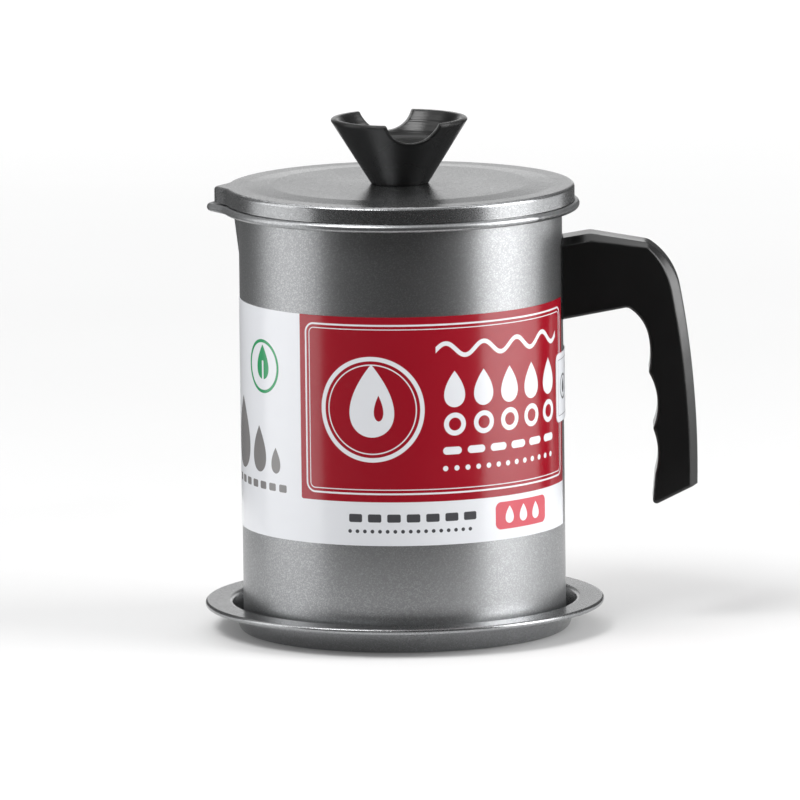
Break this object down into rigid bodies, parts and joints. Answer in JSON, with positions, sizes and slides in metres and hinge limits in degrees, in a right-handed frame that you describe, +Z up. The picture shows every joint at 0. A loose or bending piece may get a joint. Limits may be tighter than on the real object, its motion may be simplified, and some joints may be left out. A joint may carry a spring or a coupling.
{
  "type": "bacon grease container",
  "caption": "Cylindrical steel oil pot with a pouring beak and side handle, beaked lid with a notched cone knob, hanging mesh strainer and a round drip tray.",
  "frame": {"origin": "centre of the drip tray's underside, on the pot's axis", "axes": "+Z up along the pot's axis, +X towards the handle, -X towards the pouring beak"},
  "size_m": [0.1683, 0.136, 0.1751],
  "materials": {
    "tray_coating": "satin grey non-stick coating with fine metal flake",
    "pot_coating": "satin grey non-stick coating with fine metal flake",
    "lid_coating": "satin grey non-stick coating with fine metal flake",
    "strainer_coating": "satin grey non-stick coating with fine metal flake",
    "label_paper": null,
    "seal_paper": "lightly glossy white sticker",
    "handle_plastic": "satin black moulded plastic",
    "knob_plastic": "satin black moulded plastic",
    "bracket_steel": "plain stamped steel",
    "screw_steel": "bright zinc plate",
    "insert_brass": "turned brass",
    "mesh_steel": "fine woven stainless wire"
  },
  "bodies": {
    "tray": {"drip_tray": "tray_coating"},
    "pot": {"pot_body": "pot_coating", "label_band": "label_paper", "label_seal": "seal_paper", "handle_grip": "handle_plastic", "handle_bracket": "bracket_steel", "handle_screw": "screw_steel"},
    "strainer": {"strainer_frame": "strainer_coating", "strainer_mesh": "mesh_steel", "mesh_ring": "mesh_steel"},
    "lid": {"lid_shell": "lid_coating", "lid_knob": "knob_plastic", "knob_insert": "insert_brass", "knob_screw": "screw_steel", "knob_washer": "screw_steel"}
  },
  "joints": [
    {"name": "pot_lift", "type": "slide", "parent": "tray", "child": "pot", "axis": [0, 0, 1], "range_m": [0, 0.03]},
    {"name": "strainer_lift", "type": "slide", "parent": "pot", "child": "strainer", "axis": [0, 0, 1], "range_m": [0, 0.04]},
    {"name": "lid_lift", "type": "slide", "parent": "strainer", "child": "lid", "axis": [0, 0, 1], "range_m": [0, 0.05]}
  ]
}
